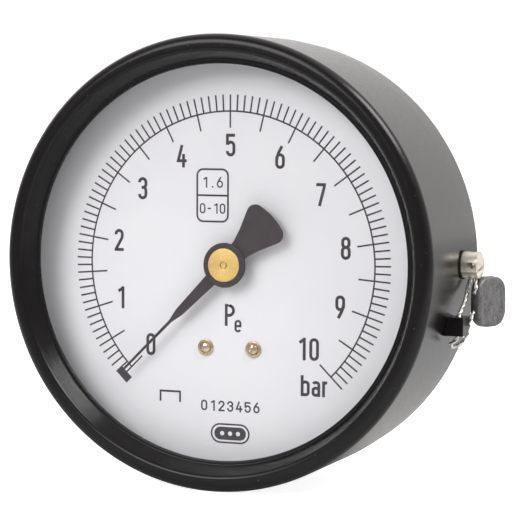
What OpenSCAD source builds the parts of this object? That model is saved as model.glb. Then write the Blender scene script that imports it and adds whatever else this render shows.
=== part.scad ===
// Round-dial Bourdon-tube pressure gauge with a lower back stem and a wire-and-lead seal.
// The row frame stands on the stem: the origin is at the shoulder where the stem's thread
// starts, +Y runs along the thread away from the case, +Z is up and the dial faces -Y.
// Every sub-part is drawn in the dial's own frame and then placed: there x is right, y is up,
// z points out of the dial, and the origin is the scale's centre on the dial's front face.

/* [Case] */
// Outer diameter of the cover ring's skirt
case_d = 100; // [99.5:0.1:101]
// Depth from the dial's front face to the case's back
case_back = 27.5; // [26.5:0.5:32]
// How far the case's axis lies above the pointer's axis
case_rise = 0.65; // [0:0.05:0.9]
// Sheet thickness of the case
case_wall = 1; // [0.8:0.1:1.2]

/* [Cover ring] */
// Inner radius of the lip that holds the window
lip_r = 43.55; // [42:0.05:44]
// Height of the lip's front edge above the dial
lip_z = 7.85; // [7.6:0.05:8.5]
// Height of the ring's crest above the dial
crest_z = 11.8; // [11.2:0.1:12.6]
// How far the skirt reaches behind the dial
skirt_back = 17; // [15:0.5:19]

/* [Dial and pointer] */
// Radius of the dial plate
dial_r = 47.2; // [46:0.1:47.3]
// Thickness of the dial plate
dial_t = 0.6; // [0.4:0.1:1]
// Angle of the pointer at rest, anticlockwise from 3 o'clock
rest_angle = 224.5; // [224:0.5:226]
// Reach of the pointer's tip from its axis
tip_r = 34.8; // [33:0.1:36]
// Reach of the pointer's counterweight
tail_r = 15.6; // [14:0.1:17]
// Height of the pointer blade's top above the dial
blade_z = 3.1; // [2.8:0.1:3.2]
// Diameter of the pointer's brass cap
cap_d = 7.5; // [7:0.1:8]

/* [Movement] */
// Radius at which the sector's tail pin sits
tail_pin_r = 8; // [7.8:0.1:8.2]
// Play of the link on the sector's tail pin
tail_gap = 0.35; // [0.3:0.01:0.4]

/* [Bourdon tube] */
// Mean radius of the C-shaped tube
tube_r = 34; // [33:0.5:36]
// Width of the tube's flat section along the case's axis
tube_w = 10; // [9:0.5:11]
// Thickness of the tube's flat section
tube_t = 4; // [3.6:0.2:4.4]
// Angle where the tube leaves the socket
tube_root = 256; // [254:1:258]
// Angle where the tube's tip is
tube_end = -40; // [-44:1:-36]

/* [Stem] */
// Distance from the stem's axis up to the pointer's axis
stem_drop = 30; // [29:0.5:31]
// Width across the stem's square
square_w = 22; // [21:0.5:24]
// Length of the square between the case's back and the thread
square_l = 13.5; // [12:0.5:18]
// Length of the thread
thread_l = 20; // [18:0.5:20]
// Diameter of the pressure port
port_d = 3.5; // [3:0.5:4]

/* [Seal] */
// Diameter of the seal screw's head
seal_head_d = 5.9; // [5.6:0.1:6.2]
// Height of the seal screw's head
seal_head_h = 4.4; // [4.2:0.1:4.8]
// Depth of the seal screw's axis behind the dial
seal_z = -12; // [-12.5:0.1:-11.5]
// Diameter of the twisted seal wire
wire_d = 1; // [0.8:0.1:1]
// Width of the lead seal
seal_w = 9.6; // [9:0.1:10]
// Height of the lead seal
seal_h = 11.3; // [10.8:0.1:11.6]
// Thickness of the lead seal
seal_t = 2.8; // [2.4:0.1:3]

/* [Hidden] */

$fn = 96;
eps = 0.01;

// The dial's front face in the row frame
dial_y = -(case_back + square_l);

// Case and ring
ring_r = case_d / 2;
ring_wall = 0.85;
ring_gap = 0.25;
step_gap = 0.4;
case_front_r = ring_r - ring_wall - ring_gap;
case_rear_r = ring_r - step_gap;
case_in_r = case_front_r - case_wall;
case_round = 3;
gasket_z = 3.4;
glass_z = 5;
lip_t = 0.85;
glass_top = lip_z - lip_t;

// Dial plate and its two screws
dial_hole_r = 3;
dial_screw_x = 5.7;
dial_screw_y = -18.75;
dial_screw_r = 1.1;

// Pointer and its boss
blade_t = 0.5;
collar_r = 2.4;
boss_r = 4.95;

// Layers of the movement, heights measured from the dial's front face
front_top = -3;
plate_t = 1.2;
front_under = front_top - plate_t;
gear_top = -5.4;
gear_t = 1.2;
link_top = -8.2;
link_t = 0.8;
back_top = -11;
back_under = back_top - plate_t;

// Gear train: the sector turns a tenth of the pointer's 270 degrees
gear_m = 0.3;
pinion_teeth = 12;
sector_teeth = 120;
sector_swing = 27;
pinion_r = gear_m * pinion_teeth / 2;
sector_r = gear_m * sector_teeth / 2;
sector_y = -(pinion_r + sector_r);
arbor_r = 0.6;
bore_gap = 0.05;
tail_angle = 270 - sector_swing / 2;
tail_x = tail_pin_r * cos(tail_angle);
tail_y = sector_y + tail_pin_r * sin(tail_angle);
pin_r = 0.5;

// Hairspring behind the pinion
hair_low = -10.2;
hair_h = 0.7;
hair_in = 1.85;
hair_out = 7.2;
hair_turns = 5;
hair_t = 0.15;

// Pillars between the two plates
pillar_x = 10.5;
pillar_high = 5;
pillar_low = -19;
pillar_r = 1.6;
plate_top = 8;
plate_foot = -29.3;

// Bourdon tube and tip block
tube_z = -16;
tube_wall = 0.5;
tip_sweep = 7;
tip_angle = tube_end - tip_sweep / 2;
tip_x = tube_r * cos(tip_angle);
tip_y = tube_r * sin(tip_angle);
tip_front = link_top - link_t - 0.1;

// Socket and stem; the thread is a G 1/2 pipe thread
thread_d = 20.955;
block_x = 13;
block_top = -22;
block_bottom = -38;
block_back = -(case_back - case_wall);
neck_r = 10.6;
flange_r = 13.5;
ear_r = 4;
ear_w = 6;
ear_h = 6.2;
shoulder_h = 1.2;
spigot_r = 3;
spigot_l = 3;
port_l = 30;
feed_r = 1.2;
gasket_t = 0.8;
screw_x = 8;
screw_y = -26.5;
back_screw_x = 17;
thread_chamfer = 1.2;

// Seal: screw, lug, wire and lead
cross_hole_r = 0.8;
washer_t = 0.3;
head_base = ring_r + washer_t;
cross_x = head_base + 2.1;
lug_y = -13;
lug_top = 52.3;
lug_hole_x = 50.5;
lug_front = -4.5;
lug_back = -9.3;
lug_w = 4.1;
lug_z = (lug_front + lug_back) / 2;
wire_hole_r = 0.75;
wire_hole_y = [2, -2.05];
seal_turn = 65;
seal_pos = [54.67, -7.6, -15.98];

// Route of the seal wire: out of the lead's upper hole, up through the screw's head and out at
// its back, down behind the head, through the lug, round in a loop and into the lower hole.
wire_route = [
    [53.3, -5.6, -13.05], [52.75, -5.6, -11.87], [52.85, -5.2, -11.1],
    [53.2, -4.2, -10.95], [53, -3.1, -11.5], [52.5, -2, -11.95],
    [52.4, -1, -12], [52.4, 0.2, -12.1], [52.4, 0.6, -12.8],
    [52.4, 0.65, -14.8], [52.3, 0.4, -16], [51.8, -0.6, -16.3],
    [51.2, -1.8, -15.6], [51, -3, -14.2], [50.95, -4.3, -12.6],
    [51.15, -5.8, -11.1], [51.1, -7.5, -9.6], [50.9, -8.9, -8.1],
    [50.6, -10.1, -7.1], [50.5, -11.2, -6.9], [50.5, -13.4, -6.9],
    [50.4, -14.8, -6.9], [49.6, -15.8, -7], [48.8, -16.4, -7.3],
    [49.2, -17, -8], [50.4, -16.6, -8.9], [51.4, -15.2, -9.8],
    [51.8, -13.6, -10.3], [52.1, -11.8, -10.7], [52.4, -10.2, -11.2],
    [52.75, -9.65, -11.87], [53.3, -9.65, -13.05]
];
wire_sides = 8;
wire_steps = 3;

// Places a drawing from the dial's frame in the row frame.
module place() {
    translate([0, dial_y, stem_drop])
        rotate([90, 0, 0])
            children();
}

// The same for what is centred on the case's own axis.
module place_case() {
    place()
        translate([0, case_rise, 0])
            children();
}

// A flat disc or rod from z = low to z = high, radius r.
module rod(r, low, high) {
    translate([0, 0, low])
        cylinder(r = r, h = high - low);
}

// A flat ring from z = low to z = high.
module tube_ring(outer, inner, low, high) {
    difference() {
        rod(outer, low, high);
        rod(inner, low - 1, high + 1);
    }
}

// Copies at x and -x.
module both_sides(x, y) {
    for (side = [-1, 1])
        translate([side * x, y, 0])
            children();
}

// A rectangle with round corners, made of squares and circles.
module rounded_rect(w, h, r) {
    square([w - 2 * r, h], center = true);
    square([w, h - 2 * r], center = true);
    for (x = [-1, 1], y = [-1, 1])
        translate([x * (w / 2 - r), y * (h / 2 - r)])
            circle(r = r);
}

// A bar with round ends between two points.
module bar_2d(a, b, w) {
    span = b - a;
    translate(a)
        rotate(atan2(span[1], span[0])) {
            translate([0, -w / 2])
                square([norm(span), w]);
            circle(d = w);
            translate([norm(span), 0])
                circle(d = w);
        }
}

// Round corner of a turned profile, from angle a to angle b about a centre.
function arc(cx, cz, r, a, b, n) =
    [for (i = [0:n]) let (t = a + (b - a) * i / n) [cx + r * cos(t), cz + r * sin(t)]];

// ---- Case ----

// Can with a round back edge and a step that lets the ring sit almost flush.
module case_base() {
    seat_back = -skirt_back - 0.3;
    color("dimgray") {
        place_case()
            difference() {
                rotate_extrude()
                    polygon(concat(
                        [[0, -case_back]],
                        arc(case_rear_r - case_round, -case_back + case_round, case_round, -90, 0, 8),
                        [
                            [case_rear_r, seat_back],
                            [case_front_r, seat_back],
                            [case_front_r, gasket_z],
                            [case_in_r, gasket_z],
                            [case_in_r, seat_back - case_wall],
                            [case_rear_r - case_wall, seat_back - case_wall]
                        ],
                        arc(case_rear_r - case_round, -case_back + case_round,
                            case_round - case_wall, 0, -90, 8),
                        [[0, -case_back + case_wall]]
                    ));
                translate([0, -stem_drop - case_rise, 0])
                    rod(neck_r + 0.2, -case_back - 1, 0);
                both_sides(back_screw_x, -stem_drop - case_rise)
                    rod(2.2, -case_back - 1, -case_back + 2);
                translate([0, 0, seal_z])
                    rotate([0, 90, 0])
                        cylinder(r = 1.5, h = ring_r);
            }
        // Threaded boss behind the seal screw's hole
        place_case()
            translate([case_in_r - 3.2, 0, seal_z])
                rotate([0, 90, 0])
                    difference() {
                        cylinder(r = 3, h = 3.4);
                        translate([0, 0, -1])
                            cylinder(r = 1.5, h = 6);
                    }
    }
}

// Slip-on ring: skirt, rounded crest, inward cone and the lip over the window.
module cover_ring() {
    color("black")
        place_case()
            difference() {
                rotate_extrude($fn = 128)
                    polygon(concat(
                        [
                            [ring_r, -skirt_back],
                            [ring_r, crest_z - 2.2]
                        ],
                        arc(ring_r - 2.2, crest_z - 2.2, 2.2, 0, 90, 8),
                        arc(ring_r - 3, crest_z - 1, 1, 90, 135, 4),
                        [
                            [lip_r + 1, lip_z + 0.15],
                            [lip_r + 0.6, lip_z],
                            [lip_r + 0.25, lip_z],
                            [lip_r, lip_z - 0.25],
                            [lip_r, glass_top],
                            [ring_r - ring_wall, glass_top],
                            [ring_r - ring_wall, -skirt_back]
                        ]
                    ));
                translate([0, 0, seal_z])
                    rotate([0, 90, 0])
                        cylinder(r = 1.7, h = ring_r + 1);
            }
}

module window() {
    color("lightcyan", 0.3)
        place_case()
            rod(ring_r - ring_wall - 0.4, glass_z, glass_top);
}

module window_gasket() {
    color("black")
        place_case()
            tube_ring(case_front_r, case_in_r - 1, gasket_z, glass_z);
}

// ---- Dial ----

module dial() {
    color("white")
        place()
            difference() {
                translate([0, case_rise, 0])
                    rod(dial_r, -dial_t, 0);
                rod(dial_hole_r, -5, 5);
                both_sides(dial_screw_x, dial_screw_y)
                    rod(dial_screw_r + 0.15, -5, 5);
            }
}

// Two low cheese-head screws through the dial into the front plate.
module dial_screws() {
    color("tan")
        place()
            both_sides(dial_screw_x, dial_screw_y)
                difference() {
                    union() {
                        rod(1.9, 0, 0.5);
                        rod(1.35, 0.5, 0.9);
                        rod(dial_screw_r, front_under, 0);
                    }
                    translate([-3, -0.2, 0.45])
                        cube([6, 0.4, 2]);
                }
}

module dial_spacers() {
    color("goldenrod")
        place()
            both_sides(dial_screw_x, dial_screw_y)
                tube_ring(2.2, dial_screw_r + 0.1, front_top, -dial_t);
}

// ---- Pointer and its arbor ----

// Upper half of the pointer's outline, from the tip to the middle of the counterweight. The disc
// around the axis lies under the boss.
tip_half = 0.22;
needle = [18.5, 0.3];
shoulder = [15.5, 0.9];
disc_r = 4.8;
neck = [-5.2, 2.3];
waist = [-8, 3.15];
fan_half = 5.2;
fan_round = 2;
fan_x = -sqrt(pow(tail_r - fan_round, 2) - pow(fan_half - fan_round, 2));
fan_from = atan2(fan_half - fan_round, fan_x);
upper_side = concat(
    [[tip_r - 0.4, tip_half], needle, shoulder],
    arc(0, 0, disc_r, 17, 153, 16),
    [neck, waist],
    arc(fan_x, fan_half - fan_round, fan_round, 75, fan_from, 6),
    [for (i = [1:3]) let (a = fan_from + (180 - fan_from) * i / 4) tail_r * [cos(a), sin(a)]]
);

module pointer() {
    last = len(upper_side) - 1;
    color("dimgray")
        place()
            rotate(rest_angle)
                translate([0, 0, blade_z - blade_t])
                    linear_extrude(blade_t)
                        difference() {
                            polygon(concat(
                                [[tip_r, 0]],
                                upper_side,
                                [[-tail_r, 0]],
                                [for (i = [last:-1:0]) [upper_side[i][0], -upper_side[i][1]]]
                            ));
                            circle(r = collar_r + 0.02);
                        }
}

// Black boss that carries the blade, with a seat for the brass cap.
module pointer_hub() {
    color("black")
        place()
            difference() {
                union() {
                    rod(collar_r, 1.6, blade_z);
                    rod(3.6, 1.6, blade_z - blade_t);
                    rod(boss_r, blade_z, blade_z + 0.4);
                }
                rod(arbor_r + 0.02, 0, 9);
                rod(cap_d / 2 + 0.05, blade_z + 0.2, 9);
            }
}

module pointer_cap() {
    color("gold")
        place()
            tube_ring(cap_d / 2, arbor_r + 0.02, blade_z + 0.2, blade_z + 0.65);
}

// One flank of an involute tooth, from radius r0 to r1 on base radius rb.
function involute_at(rb, r) =
    let (t = sqrt(max(0, pow(r / rb, 2) - 1))) t * 180 / PI - atan(t);

// Points of one tooth centred on angle at, from root to tip and back.
function tooth(z, root, tip, thin, at) =
    let (
        rp = gear_m * z / 2,
        rb = rp * cos(20),
        half = 90 / z - thin / rp * 90 / PI + involute_at(rb, rp),
        low = max(root, rb),
        radii = [for (i = [0:4]) low + (tip - low) * i / 4]
    )
    concat(
        [root * [cos(at - half), sin(at - half)]],
        [for (r = radii) let (a = at - half + involute_at(rb, r)) r * [cos(a), sin(a)]],
        [for (i = [4:-1:0])
            let (r = radii[i], a = at + half - involute_at(rb, r)) r * [cos(a), sin(a)]],
        [root * [cos(at + half), sin(at + half)]]
    );

module pinion_outline() {
    root = pinion_r - 1.25 * gear_m;
    pitch = 360 / pinion_teeth;
    polygon([
        for (i = [0:pinion_teeth - 1])
            each tooth(pinion_teeth, root, pinion_r + gear_m * 0.9, 0.07, 270 + pitch * (i + 0.5))
    ]);
}

// Arbor with the pinion cut on it; its front end carries the pointer.
module pinion_arbor() {
    color("silver")
        place() {
            rod(arbor_r, back_under + 0.1, blade_z + 0.7);
            rod(1, back_top + 0.3, gear_top - gear_t - 0.6);
            rod(1.3, front_under - 0.6, front_under - 0.3);
            translate([0, 0, gear_top - gear_t - 0.6])
                linear_extrude(gear_t + 1.2)
                    pinion_outline();
        }
}

// ---- Hairspring ----

module hairspring_collet() {
    color("goldenrod")
        place()
            tube_ring(hair_in - 0.1, 1.02, hair_low - 0.3, hair_low + hair_h + 0.3);
}

function spiral(offset, i, n) =
    let (a = 180 + 360 * hair_turns * i / n, r = hair_in + (hair_out - hair_in) * i / n + offset)
    [r * cos(a), r * sin(a)];

module hairspring() {
    n = hair_turns * 24;
    color("silver")
        place()
            translate([0, 0, hair_low])
                linear_extrude(hair_h)
                    polygon(concat(
                        [for (i = [0:n]) spiral(0, i, n)],
                        [for (i = [n:-1:0]) spiral(hair_t, i, n)]
                    ));
}

// Post on the back plate that holds the hairspring's outer end.
module hairspring_stud() {
    color("goldenrod")
        place()
            translate([-hair_out - hair_t - 0.75, 0, 0])
                rod(0.7, back_top, hair_low + hair_h + 0.5);
}

// ---- Movement plates ----

module bores(rows) {
    for (row = rows)
        translate([row[0], row[1]])
            circle(r = row[2]);
}

module front_plate() {
    color("goldenrod")
        place()
            translate([0, 0, front_under])
                linear_extrude(plate_t)
                    difference() {
                        translate([0, (pillar_high + pillar_low) / 2 - 1])
                            rounded_rect(2 * pillar_x + 6, pillar_high - pillar_low + 8, 3);
                        translate([0, -9])
                            rounded_rect(11, 8, 2);
                        bores([
                            [0, 0, arbor_r + bore_gap],
                            [0, sector_y, 0.8 + bore_gap],
                            [dial_screw_x, dial_screw_y, dial_screw_r + 0.03],
                            [-dial_screw_x, dial_screw_y, dial_screw_r + 0.03],
                            [pillar_x, pillar_high, 0.85], [-pillar_x, pillar_high, 0.85],
                            [pillar_x, pillar_low, 0.85], [-pillar_x, pillar_low, 0.85]
                        ]);
                    }
}

module back_plate() {
    color("goldenrod")
        place()
            translate([0, 0, back_under])
                linear_extrude(plate_t)
                    difference() {
                        translate([0, (plate_top + plate_foot) / 2])
                            rounded_rect(2 * pillar_x + 5, plate_top - plate_foot, 3);
                        bores([
                            [0, 0, arbor_r + bore_gap],
                            [0, sector_y, 0.8 + bore_gap],
                            [screw_x, screw_y, 1.6], [-screw_x, screw_y, 1.6]
                        ]);
                    }
}

module plate_pillars() {
    color("goldenrod")
        place()
            for (y = [pillar_high, pillar_low])
                both_sides(pillar_x, y)
                    difference() {
                        rod(pillar_r, back_top, front_under);
                        rod(0.85, front_under - 4, front_under + 1);
                    }
}

// A slotted screw: head on z = seat, pointing to +z, shank down to z = low.
module slotted_screw(head_r, head_h, shank_r, seat, low) {
    difference() {
        union() {
            rod(head_r, seat, seat + head_h);
            rod(shank_r, low, seat);
        }
        translate([-head_r - 1, -head_r * 0.12, seat + head_h * 0.5])
            cube([2 * head_r + 2, head_r * 0.24, head_h]);
    }
}

module plate_screws() {
    color("silver")
        place()
            for (y = [pillar_high, pillar_low])
                both_sides(pillar_x, y)
                    slotted_screw(1.6, 0.8, 0.8, front_top, front_under - 3.8);
}

module movement_screws() {
    color("silver")
        place()
            both_sides(screw_x, screw_y)
                slotted_screw(2.5, 1.5, 1.5, back_top, back_under - 6);
}

// ---- Sector gear ----

function polar(r, a) = r * [cos(a), sin(a)];

// Toothed rim, window and tail in one stamped plate.
module sector_gear() {
    pitch = 360 / sector_teeth;
    root = sector_r - 1.3 * gear_m;
    first = -11;
    last = 1;
    color("goldenrod")
        place()
            translate([0, sector_y, gear_top - gear_t])
                linear_extrude(gear_t)
                    difference() {
                        union() {
                            polygon(concat(
                                [[0, 0], polar(root - 0.2, 90 + pitch * (first - 1))],
                                [for (i = [first:last])
                                    each tooth(
                                        sector_teeth, root, sector_r + gear_m * 0.7,
                                        0.07, 90 + pitch * i
                                    )],
                                [polar(root - 0.2, 90 + pitch * (last + 1))]
                            ));
                            circle(r = 3);
                            bar_2d([0, 0], [tail_x, tail_y - sector_y], 3);
                        }
                        polygon([[1.8, 5], polar(15, 65), polar(15, 76), polar(15, 86)]);
                        circle(r = 1.22);
                        translate([tail_x, tail_y - sector_y])
                            circle(r = pin_r + 0.02);
                    }
}

module sector_arbor() {
    color("silver")
        place()
            translate([0, sector_y, 0]) {
                rod(0.8, back_under + 0.1, front_top - 0.1);
                rod(1.2, back_top + 0.3, front_under - 0.3);
                rod(1.7, gear_top - gear_t - 0.5, gear_top - gear_t);
            }
}

// Pin in the sector's tail, with the retaining disc behind the link.
module sector_pin() {
    color("silver")
        place()
            translate([tail_x, tail_y, 0]) {
                rod(pin_r, link_top - link_t - 0.6, gear_top);
                rod(1.3, link_top - link_t - 0.6, link_top - link_t - 0.3);
            }
}

// ---- Link and tube ----

module link() {
    a = [tail_x, tail_y];
    b = [tip_x, tip_y];
    color("goldenrod")
        place()
            translate([0, 0, link_top - link_t])
                linear_extrude(link_t)
                    difference() {
                        union() {
                            bar_2d(a, b, 1.8);
                            translate(a)
                                circle(r = 1.6);
                            translate(b)
                                circle(r = 1.6);
                        }
                        bores([[a[0], a[1], pin_r + tail_gap], [b[0], b[1], pin_r + bore_gap]]);
                    }
}

module link_pin() {
    color("silver")
        place()
            translate([tip_x, tip_y, 0]) {
                rod(pin_r, tip_front - 2, link_top + 0.1);
                rod(1.1, link_top + 0.1, link_top + 0.6);
            }
}

// Section of the tube: long along z, round at both ends.
module tube_section(w, t) {
    square([t, w - t], center = true);
    for (side = [-1, 1])
        translate([0, side * (w - t) / 2])
            circle(d = t, $fn = 32);
}

// Sweeps a section about the pointer's axis from angle a to angle b at the tube's radius.
module sweep(a, b) {
    translate([0, 0, tube_z])
        rotate(a)
            rotate_extrude(angle = b - a)
                translate([tube_r, 0])
                    children();
}

module bourdon_tube() {
    color("peru")
        place()
            sweep(tube_end, tube_root)
                difference() {
                    tube_section(tube_w, tube_t);
                    tube_section(tube_w - 2 * tube_wall, tube_t - 2 * tube_wall);
                }
}

// End plug of the tube with a flat front face for the link's pin.
module tube_tip() {
    color("goldenrod")
        place()
            difference() {
                union() {
                    sweep(tube_end - tip_sweep, tube_end)
                        square([tube_t + 1.6, tube_w + 1], center = true);
                    translate([tip_x, tip_y, 0])
                        rod(2, tube_z, tip_front);
                }
                translate([tip_x, tip_y, 0])
                    rod(pin_r + 0.02, tip_front - 2.1, 0);
            }
}

// ---- Socket, stem and the screws in the case's back ----

module socket() {
    seat = block_back + gasket_t;
    color("darkgoldenrod")
        place()
            translate([0, -stem_drop, 0])
                difference() {
                    union() {
                        translate([-block_x, block_bottom + stem_drop, seat])
                            cube([2 * block_x, block_top - block_bottom, back_under - seat]);
                        both_sides(back_screw_x, 0)
                            rod(ear_r, seat, seat + ear_h);
                        translate([-back_screw_x, -ear_w / 2, seat])
                            cube([2 * back_screw_x, ear_w, ear_h]);
                        rod(flange_r, seat, seat + 2);
                        rod(neck_r, -case_back, seat + 1);
                        translate([-square_w / 2, -square_w / 2, -case_back - square_l])
                            cube([square_w, square_w, square_l - shoulder_h]);
                        rod(neck_r + 0.9, -case_back - shoulder_h, -case_back);
                        thread_blank();
                    }
                    port();
                    // Slot that the tube is soldered into, and the feed hole to it
                    translate([0, stem_drop, 0])
                        sweep(tube_root - 40, tube_root)
                            tube_section(tube_w + 0.1, tube_t + 0.1);
                    both_sides(screw_x, screw_y + stem_drop)
                        rod(1.52, back_under - 6.5, 0);
                    both_sides(back_screw_x, 0)
                        rod(1.75, block_back, block_back + 6);
                }
}

// Plain blank of the pipe thread, chamfered, with the centring spigot in front of it.
module thread_blank() {
    end = -case_back - square_l;
    r = thread_d / 2;
    translate([0, 0, end])
        rotate([180, 0, 0]) {
            cylinder(r = r, h = thread_l - thread_chamfer);
            translate([0, 0, thread_l - thread_chamfer])
                cylinder(r1 = r, r2 = r - thread_chamfer, h = thread_chamfer);
            cylinder(r = spigot_r, h = thread_l + spigot_l);
        }
}

// Pressure port: wide bore from the spigot, then a narrow feed that turns to the tube's slot.
module port() {
    mouth = -case_back - square_l - thread_l - spigot_l;
    root_x = tube_r * cos(tube_root);
    root_y = tube_r * sin(tube_root) + stem_drop;
    rod(port_d / 2, mouth - 1, mouth + port_l);
    rod(feed_r, mouth, tube_z);
    translate([0, 0, tube_z])
        rotate(atan2(root_y, root_x))
            rotate([0, 90, 0])
                cylinder(r = feed_r, h = norm([root_x, root_y]) + 1);
}

module socket_gasket() {
    color("black")
        place()
            translate([0, -stem_drop, 0])
                tube_ring(flange_r, neck_r + 0.05, block_back, block_back + gasket_t);
}

// Two screws from behind that clamp the socket in the case.
module socket_screws() {
    color("silver")
        place()
            translate([0, -stem_drop, 0])
                both_sides(back_screw_x, 0)
                    difference() {
                        union() {
                            rod(3.6, -case_back - 1.8, -case_back);
                            rod(1.7, -case_back, block_back + 5.5);
                        }
                        translate([-5, -0.5, -case_back - 2.8])
                            cube([10, 1, 2]);
                    }
}

// ---- Seal set ----

// Turns a drawing so that its +z points out of the case's side at 3 o'clock.
module on_side(z) {
    place_case()
        translate([0, 0, z])
            rotate([0, 90, 0])
                children();
}

// Raised cheese-head screw with two crossing holes in its head.
module seal_screw() {
    dome = 0.9;
    top = head_base + seal_head_h;
    r = seal_head_d / 2;
    color("lightgray")
        on_side(seal_z)
            difference() {
                union() {
                    rod(r, head_base, top - dome);
                    intersection() {
                        rod(r, top - dome - eps, top);
                        translate([0, 0, top - 5.4])
                            sphere(r = 5.4, $fn = 64);
                    }
                    rod(1.45, case_in_r - 3.2, head_base);
                }
                translate([0, 0, top - 0.85])
                    rotate(24)
                        translate([-4, -0.4, 0])
                            cube([8, 0.8, 2]);
                translate([0, 0, cross_x])
                    for (turn = [0, 90])
                        rotate([90, 0, turn])
                            cylinder(r = cross_hole_r, h = seal_head_d + 1, center = true, $fn = 32);
            }
}

module seal_washer() {
    color("black")
        on_side(seal_z)
            tube_ring(3.15, 1.6, ring_r, head_base);
}

// Black lug on the ring's skirt with a hole along the skirt for the wire.
module seal_lug() {
    color("black")
        place_case()
            difference() {
                translate([ring_r - 4, lug_y - lug_w / 2, lug_back])
                    cube([lug_top - ring_r + 4, lug_w, lug_front - lug_back]);
                rod(ring_r + 0.02, lug_back - 1, lug_front + 1);
                translate([lug_hole_x, lug_y, lug_z])
                    rotate([90, 0, 0])
                        cylinder(r = cross_hole_r, h = lug_w + 2, center = true, $fn = 32);
            }
}

// Catmull-Rom point between b and c, for neighbours a and d and share t of the way.
function smooth_point(a, b, c, d, t) =
    0.5 * (2 * b + (c - a) * t + (2 * a - 5 * b + 4 * c - d) * t * t
        + (3 * b - a - 3 * c + d) * t * t * t);

function smooth_route(p, steps) =
    let (last = len(p) - 1)
    concat(
        [for (i = [0:last - 1], s = [0:steps - 1])
            smooth_point(p[max(i - 1, 0)], p[i], p[i + 1], p[min(i + 2, last)], s / steps)],
        [p[last]]
    );

function unit(v) = v / norm(v);

// A tube of round section swept along a route. The section turns with the route by carrying
// the side vector along from ring to ring, so it never flips.
function carried(p, i, side) =
    let (
        last = len(p) - 1,
        way = unit(p[min(i + 1, last)] - p[max(i - 1, 0)]),
        kept = unit(side - (side * way) * way),
        rest = i < last ? carried(p, i + 1, kept) : []
    )
    concat([[p[i], kept, cross(way, kept)]], rest);

module swept_tube(route, d, sides) {
    rings = carried(route, 0, [0, 0, 1]);
    n = len(rings);
    points = [for (k = rings, s = [0:sides - 1])
        let (a = 360 * s / sides) k[0] + d / 2 * (cos(a) * k[1] + sin(a) * k[2])];
    walls = [for (i = [0:n - 2], s = [0:sides - 1])
        let (t = (s + 1) % sides)
        [i * sides + s, (i + 1) * sides + s, (i + 1) * sides + t, i * sides + t]];
    caps = [[for (s = [0:sides - 1]) s], [for (s = [sides - 1:-1:0]) (n - 1) * sides + s]];
    polyhedron(points, concat(walls, caps), convexity = 6);
}

module seal_wire() {
    color("silver")
        place()
            swept_tube(smooth_route(wire_route, wire_steps), wire_d, wire_sides);
}

// Pressed lead pad. Its flat faces look outwards and forwards; two blind holes in its near end
// take the wire.
module lead_seal() {
    color("gray")
        place()
            translate(seal_pos)
                rotate([0, seal_turn, 0])
                    difference() {
                        linear_extrude(seal_t, center = true)
                            rounded_rect(seal_w, seal_h, 3.6);
                        for (y = wire_hole_y)
                            translate([-seal_w / 2 - 0.5, y, 0])
                                rotate([0, 90, 0])
                                    cylinder(r = wire_hole_r, h = 2.8, $fn = 32);
                    }
}

case_base();
cover_ring();
window();
window_gasket();
dial();
dial_screws();
dial_spacers();
pointer();
pointer_hub();
pointer_cap();
pinion_arbor();
hairspring_collet();
hairspring();
hairspring_stud();
front_plate();
back_plate();
plate_pillars();
plate_screws();
movement_screws();
sector_gear();
sector_arbor();
sector_pin();
link();
link_pin();
tube_tip();
bourdon_tube();
socket();
socket_gasket();
socket_screws();
seal_screw();
seal_washer();
seal_lug();
seal_wire();
lead_seal();
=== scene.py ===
"""Looks of a round-dial pressure gauge with a wire-and-lead seal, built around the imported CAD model.

Drawings are in millimetres in the dial's own frame: x is right, y is up and z points out of the
dial, towards the viewer. A placing matrix takes them into the row frame, in metres.
"""

import math

import bmesh
import bpy
from mathutils import Matrix, Vector, noise


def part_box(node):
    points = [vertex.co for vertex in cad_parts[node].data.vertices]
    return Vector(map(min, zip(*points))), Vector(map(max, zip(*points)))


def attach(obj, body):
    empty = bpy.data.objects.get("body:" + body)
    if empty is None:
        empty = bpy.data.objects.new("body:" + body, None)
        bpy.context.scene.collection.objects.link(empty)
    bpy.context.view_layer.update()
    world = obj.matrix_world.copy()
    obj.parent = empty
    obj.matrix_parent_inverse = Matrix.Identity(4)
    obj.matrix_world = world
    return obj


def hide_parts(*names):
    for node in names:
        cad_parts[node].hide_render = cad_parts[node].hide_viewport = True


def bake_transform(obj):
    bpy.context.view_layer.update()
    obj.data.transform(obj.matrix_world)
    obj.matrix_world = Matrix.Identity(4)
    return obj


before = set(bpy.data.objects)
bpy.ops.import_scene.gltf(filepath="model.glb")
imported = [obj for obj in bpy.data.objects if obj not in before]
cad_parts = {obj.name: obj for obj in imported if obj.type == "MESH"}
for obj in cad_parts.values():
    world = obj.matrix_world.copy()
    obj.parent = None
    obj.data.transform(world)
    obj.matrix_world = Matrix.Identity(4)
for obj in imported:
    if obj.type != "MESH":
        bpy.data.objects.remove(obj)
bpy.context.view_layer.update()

MM = 0.001

# ---- Places taken from the frame ----

dial_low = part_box("dial")[0]
cap_low, cap_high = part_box("pointer_cap")
ring_low, ring_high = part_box("cover_ring")
case_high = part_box("case_base")[1]
socket_low, socket_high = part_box("socket")
lead_low, lead_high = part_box("lead_seal")

TO_DIAL = Matrix.Rotation(math.radians(90), 4, "X") @ Matrix.Scale(MM, 4)
FACE_Y = dial_low.y
SCALE_Z = (cap_low.z + cap_high.z) / 2
CASE_Z = (ring_low.z + ring_high.z) / 2
DIAL = Matrix.Translation((0, FACE_Y, SCALE_Z)) @ TO_DIAL
CASE = Matrix.Translation((0, FACE_Y, CASE_Z)) @ TO_DIAL
STEM = Matrix.Translation((0, FACE_Y, 0)) @ TO_DIAL


def depth(y):
    """Height above the dial's face, in millimetres, of a place y in the row frame."""
    return (FACE_Y - y) / MM


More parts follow.
